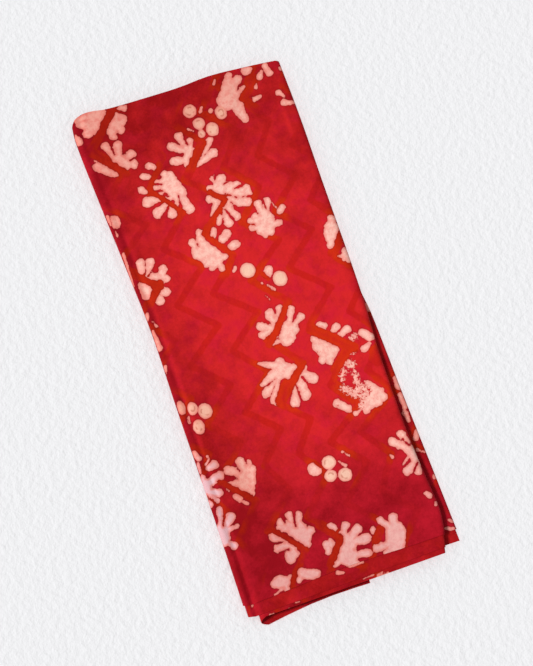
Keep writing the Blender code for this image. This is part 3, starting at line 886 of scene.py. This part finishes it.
class Nodes:
    """Short calls for a material's nodes. A value given is a number, a colour or a socket."""

    def __init__(self, name):
        self.material = bpy.data.materials.new(name)
        self.material.use_nodes = True
        self.tree = self.material.node_tree
        self.shader = self.tree.nodes["Principled BSDF"]

    def set(self, socket, value):
        if isinstance(value, bpy.types.NodeSocket):
            self.tree.links.new(value, socket)
        elif value is not None:
            socket.default_value = value

    def finish(self, values):
        for name, value in values.items():
            self.set(self.shader.inputs[name], value)

    def node(self, kind, values=None):
        """A new node, with the given values or sockets at its inputs."""
        node = self.tree.nodes.new("ShaderNode" + kind)
        for name, value in (values or {}).items():
            self.set(node.inputs[name], value)
        return node

    def attribute(self, name, vector=False):
        node = self.node("Attribute")
        node.attribute_name = name
        return node.outputs["Vector" if vector else "Fac"]

    def math(self, kind, a, b=None, c=None, clamp=False):
        node = self.node("Math")
        node.operation = kind
        node.use_clamp = clamp
        for socket, value in zip(node.inputs, (a, b, c)):
            self.set(socket, value)
        return node.outputs[0]

    def ramp(self, value, start, end, low=0.0, high=1.0):
        """From low at start to high at end, held beyond them."""
        node = self.node("MapRange", {
            "Value": value, "From Min": start, "From Max": end, "To Min": low, "To Max": high})
        node.interpolation_type = "SMOOTHSTEP"
        return node.outputs[0]

    def noise(self, vector, scale, detail=2.0, rough=0.5):
        values = {"Vector": vector, "Scale": scale, "Detail": detail, "Roughness": rough}
        return self.node("TexNoise", values).outputs[0]

    def swing(self, noise, width):
        """A noise from 0 to 1 as a swing of that width about 0."""
        return self.math("MULTIPLY_ADD", noise, width, -width / 2)

    def mix(self, share, first, second, blend="MIX"):
        node = self.node("Mix")
        node.data_type = "RGBA"
        node.blend_type = blend
        inputs = [s for s in node.inputs if s.type == "RGBA" or s.identifier == "Factor_Float"]
        for socket, value in zip(inputs, (share, first, second)):
            self.set(socket, value)
        return next(s for s in node.outputs if s.type == "RGBA")

    def tinted(self, colour, tint):
        return self.mix(1.0, colour, tint, "MULTIPLY")

    def bump(self, height, strength, distance, normal=None):
        values = {"Height": height, "Strength": strength, "Distance": distance, "Normal": normal}
        return self.node("Bump", values).outputs[0]


GROUND_DARK = linear(150, 9, 14)
GROUND_LIGHT = linear(216, 35, 38)
CRIMSON_DARK = linear(146, 5, 24)
CRIMSON_LIGHT = linear(206, 22, 52)
BAR_TINT = (0.85, 0.70, 0.42, 1.0)
ORANGE_DARK = linear(160, 22, 5)
ORANGE_LIGHT = linear(212, 46, 12)
OUTLINE_TINT = (0.58, 0.25, 0.40, 1.0)
PINK = linear(248, 170, 157)
PINK_PALE = linear(254, 197, 181)
PINK_COOL = linear(239, 214, 224)
PINK_RIM = linear(240, 142, 130)
CREAM = linear(250, 200, 174)
DOT_MARK = linear(206, 122, 102)
# Painted shade: the tint of the bare cotton where the cloth is painted dark
SHADE_TINT = (0.84, 0.62, 0.60, 1.0)
# Noises of the dye and the wax: how many to a millimetre, octaves and roughness
CLOUDS, GRAIN, CRIMSON_PATCHES = (0.035, 5.0, 0.68), (0.42, 3.0, 0.7), (0.045, 4.0, 0.6)
MOTTLES, SPECKS, MARKED = (0.17, 4.0, 0.65), (0.6, 2.0, 0.6), (0.11, 1.0)
CRACKS, RAGGED, SWERVING = (0.36, 4.0, 0.70), (0.30, 3.0, 0.6), (0.14, 1.0, 0.5)
DOT_RAGGED, BAR_RAGGED = (0.16, 2.0), (0.12, 3.0)
# How far they swing the level of the dye and the painted shade, which runs from 0 to 1, and the edges, in
# millimetres
CLOUDS_BY, GRAIN_BY = 1.7, 0.5
RAGGED_BY, SWERVING_BY, DOT_RAGGED_BY, BAR_RAGGED_BY = 2.2, 3.6, 2.4, 3.6
CRACKS_BY = (20.0, -8.6)  # the cracks' noise times the first, plus the second
BROKEN_DEPTH = 3.0        # the most that a place lies inside a petal where the wax is broken
ORANGE_SWAY = 7.0         # how far one level of cloudiness moves the orange's reach
# Ramps from one value to another, with the shares there if they aren't 0 and 1
CRIMSON_SHOWS, MOTTLES_SHOW = (0.42, 0.66, 0.0, 0.6), (0.36, 0.60)
SPECKS_SHOW, MARKED_SHOWS = (0.66, 0.74, 0.0, 0.6), (0.46, 0.58)
BARS_BY_TONE, BARS_BY_CLOUDS = (0.15, 0.85, 0.35, 1.0), (0.30, 0.60, 0.5, 1.0)
MARKS_BY_TONE, SHADE_BY_TONE = (0.92, 0.75, 0.1, 0.75), (0.65, 0.1)
# The same by place on the cloth: T towards the near edge, and S towards the left fold
CRIMSON_NEAR, CRIMSON_LEFT = (-90.0, -250.0, 0.0, 0.7), (-98.0, -111.0, 0.0, 0.7)
COOL_NEAR, COOL_CORNER_NEAR, COOL_CORNER_LEFT = (-150.0, -230.0, 0.0, 0.3), (-95.0, -125.0), (-80.0, -112.0)
# The same by distance from an edge, and the ring that a dot's mark follows inside its edge
SHAPE_EDGE, CUT_EDGE, BAR_EDGE = (0.4, -0.4), (0.6, -0.6), (0.9, -0.9)
ORANGE_REACH, OUTLINE_REACH = (11.0, 2.0), (1.9, 0.2, 0.0, 0.6)
RIM_REACH, CREAM_REACH = (-3.2, -0.3, 0.0, 0.8), (0.5, -0.5, 0.0, 0.85)
RING_INSIDE, RING_WIDTH = 3.3, (1.6, 0.2)
# Relief: noises as above, and the strength of each bump and its depth in metres
FIBRES, RIPPLES, PUCKERS = (1.7, 2.0), (0.045, 3.0, 0.5), (0.25, 3.0, 0.55)
RIPPLE_BUMP, PUCKER_BUMP, WEAVE_BUMP = (0.5, 0.004), (0.35, 0.0006), (0.25, 0.00012)
THREAD_PITCH = 0.62       # millimetres from one thread's crown to the next but one


def dyed_ground(g, flat, place, tone_and_painted_light, shapes, on_bar, on_cut):
    """The red dye, its cloudiness, the zigzag over it and the orange beside the flowers, all painted darker
    or lighter by the painted shade and highlights.
    """
    clouds = g.noise(flat, *CLOUDS)
    patchy = g.swing(clouds, CLOUDS_BY)
    grain = g.swing(g.noise(flat, *GRAIN), GRAIN_BY)
    # The level adds the painted shade and highlights, so the red ground is painted darker and lighter by
    # them
    level = g.math("ADD", g.math("ADD", tone_and_painted_light, patchy), grain, clamp=True)
    ground = g.mix(level, GROUND_DARK, GROUND_LIGHT)
    crimson = g.ramp(g.noise(flat, *CRIMSON_PATCHES), *CRIMSON_SHOWS)
    crimson = g.math("MAXIMUM", crimson, g.ramp(place[1], *CRIMSON_NEAR))
    crimson = g.math("MAXIMUM", crimson, g.ramp(place[0], *CRIMSON_LEFT))
    ground = g.mix(crimson, ground, g.mix(level, CRIMSON_DARK, CRIMSON_LIGHT))
    bar_strength = g.math("MULTIPLY", g.ramp(tone_and_painted_light, *BARS_BY_TONE), g.ramp(clouds, *BARS_BY_CLOUDS))
    ground = g.mix(g.math("MULTIPLY", on_bar, bar_strength), ground, g.tinted(ground, BAR_TINT))
    beside = g.ramp(g.math("ADD", shapes, g.math("MULTIPLY", patchy, ORANGE_SWAY)), *ORANGE_REACH)
    orange = g.mix(level, ORANGE_DARK, ORANGE_LIGHT)
    ground = g.mix(g.math("MULTIPLY", g.math("MAXIMUM", on_bar, on_cut), beside), ground, orange)
    outline = g.ramp(shapes, *OUTLINE_REACH)
    return g.mix(outline, ground, g.tinted(ground, OUTLINE_TINT))


def bare_cotton(g, flat, place, tone_and_painted_light, shapes, dots):
    """The cotton that the wax kept from the dye: mottled, pinker at its rims, specked, and darkened with
    painted shade where the cloth is painted dark.
    """
    bare = g.mix(g.ramp(g.noise(flat, *MOTTLES), *MOTTLES_SHOW), PINK, PINK_PALE)
    near_left = g.math(
        "MULTIPLY", g.ramp(place[0], *COOL_CORNER_LEFT), g.ramp(place[1], *COOL_CORNER_NEAR))
    cool = g.math("MAXIMUM", near_left, g.ramp(place[1], *COOL_NEAR))
    bare = g.mix(cool, bare, PINK_COOL)
    bare = g.mix(g.ramp(dots, *CREAM_REACH), bare, CREAM)
    rings = g.math("ABSOLUTE", g.math("ADD", dots, RING_INSIDE))
    marked = g.math("MULTIPLY", g.ramp(rings, *RING_WIDTH), g.ramp(g.noise(flat, *MARKED), *MARKED_SHOWS))
    marks = g.math("MULTIPLY", marked, g.ramp(tone_and_painted_light, *MARKS_BY_TONE))
    bare = g.mix(marks, bare, DOT_MARK)
    bare = g.mix(g.ramp(shapes, *RIM_REACH), bare, PINK_RIM)
    specks = g.ramp(g.noise(flat, *SPECKS), *SPECKS_SHOW)
    bare = g.mix(specks, bare, DOT_MARK)
    # Painted shade: darker, redder bare cotton where the cloth is painted dark
    return g.mix(g.ramp(tone_and_painted_light, *SHADE_BY_TONE), bare, g.tinted(bare, SHADE_TINT))


def woven_normal(g, flat, place):
    """Soft ripples and a plain weave."""
    threads = [g.math("SINE", g.math("MULTIPLY", way, 2 * pi / THREAD_PITCH)) for way in place]
    weave = g.math("ADD", g.math("MULTIPLY", *threads), g.noise(flat, *FIBRES))
    ripples = g.bump(g.noise(flat, *RIPPLES), *RIPPLE_BUMP)
    puckers = g.bump(g.noise(flat, *PUCKERS), *PUCKER_BUMP, ripples)
    return g.bump(weave, *WEAVE_BUMP, puckers)


def cloth_material():
    """The print's distances with ragged edges, then the dye and the bare cotton by them."""
    g = Nodes("batik_print")
    flat = g.attribute("flat", vector=True)
    place = g.node("SeparateXYZ", {"Vector": flat}).outputs[:2]
    tone_and_painted_light, broken = g.attribute("tone_and_painted_light"), g.attribute("broken")
    cracks = g.math("MULTIPLY_ADD", g.noise(flat, *CRACKS), *CRACKS_BY)
    ragged = g.swing(g.noise(flat, *RAGGED), RAGGED_BY)
    wobble = g.math("ADD", ragged, g.swing(g.noise(flat, *SWERVING), SWERVING_BY))
    edge = g.math("MULTIPLY_ADD", broken, cracks, wobble)
    petals = g.math("MINIMUM", g.attribute("petals"), g.attribute("between"))
    deepest = g.math("MULTIPLY_ADD", broken, FAR_AWAY - BROKEN_DEPTH, -FAR_AWAY)
    petals = g.math("MAXIMUM", petals, deepest)
    petals = g.math("ADD", petals, edge)
    dots = g.math("ADD", g.attribute("dots"), g.swing(g.noise(flat, *DOT_RAGGED), DOT_RAGGED_BY))
    bars = g.math("ADD", g.attribute("bars"), g.swing(g.noise(flat, *BAR_RAGGED), BAR_RAGGED_BY))
    cuts = g.math("ADD", g.attribute("cuts"), wobble)
    shapes = g.math("MAXIMUM", g.math("MINIMUM", petals, dots), g.math("MULTIPLY", cuts, -1.0))
    on_cut = g.ramp(cuts, *CUT_EDGE)
    ground = dyed_ground(g, flat, place, tone_and_painted_light, shapes, g.ramp(bars, *BAR_EDGE), on_cut)
    bare = bare_cotton(g, flat, place, tone_and_painted_light, shapes, dots)
    colour = g.mix(g.ramp(shapes, *SHAPE_EDGE), ground, bare)
    g.finish({"Base Color": colour, "Roughness": 0.80, "Specular IOR Level": 0.08,
              "Sheen Weight": 0.02, "Sheen Roughness": 0.4, "Normal": woven_normal(g, flat, place)})
    return g.material


FLOOR_HALF, FLOOR_Z = 12.0, -0.0002
FLOOR_COLOUR = linear(238, 238, 240)
PAPER_GRAIN = (130.0, 3.0, 0.6)   # how many to a metre, octaves and roughness
PAPER_BUMP = (0.55, 0.0028)       # strength, and depth in metres


def build_floor():
    mesh = bpy.data.meshes.new("floor")
    corners = [(x * FLOOR_HALF, y * FLOOR_HALF, FLOOR_Z) for x, y in ((-1, -1), (1, -1), (1, 1), (-1, 1))]
    mesh.from_pydata(corners, [], [(0, 1, 2, 3)])
    g = Nodes("paper")
    place = g.node("TexCoord").outputs["Object"]
    grain = g.bump(g.noise(place, *PAPER_GRAIN), *PAPER_BUMP)
    g.finish({"Base Color": FLOOR_COLOUR, "Roughness": 0.95, "Specular IOR Level": 0.1, "Normal": grain})
    mesh.materials.append(g.material)
    floor = place_object("floor", mesh)
    return floor


def add_camera():
    data = bpy.data.cameras.new("camera")
    camera = place_object("camera", data)
    a, e = VIEW_AZIMUTH, VIEW_ELEVATION
    back = Vector((sin(a) * cos(e), -cos(a) * cos(e), sin(e)))
    camera.location = VIEW_TARGET + VIEW_DISTANCE * back
    camera.rotation_euler = back.to_track_quat("Z", "Y").to_euler()
    data.sensor_width = SENSOR
    data.lens = SENSOR * VIEW_DISTANCE * 1000.0 / (MM_PER_PIXEL * max(PHOTO_SIZE))
    bpy.context.scene.camera = camera


def add_sun(name, lit, blockers=None):
    """A broad soft sun that lights some objects, and is shaded by only some."""
    data = bpy.data.lights.new(name, "SUN")
    data.energy = SUN_STRENGTH
    data.angle = SUN_WIDTH
    light = place_object(name, data)
    light.rotation_euler = SUN_FROM.to_track_quat("Z", "Y").to_euler()
    light.light_linking.receiver_collection = collection_of(name + "_lights", lit)
    if blockers is not None:
        light.light_linking.blocker_collection = collection_of(name + "_shades", blockers)


def collection_of(name, members):
    collection = bpy.data.collections.new(name)
    for member in members:
        collection.objects.link(member)
    return collection


def light_scene(cloth, floor):
    world = bpy.data.worlds.new("studio")
    world.use_nodes = True
    background = world.node_tree.nodes["Background"]
    background.inputs["Color"].default_value = (1.0, 1.0, 1.0, 1.0)
    background.inputs["Strength"].default_value = WORLD_STRENGTH
    bpy.context.scene.world = world
    add_sun("key", [cloth])
    add_sun("key_on_floor", [floor], [floor])
    bpy.context.scene.view_settings.view_transform = "Standard"


cloth = build_cloth()
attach(cloth, "root")
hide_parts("cloth")
light_scene(cloth, build_floor())
add_camera()
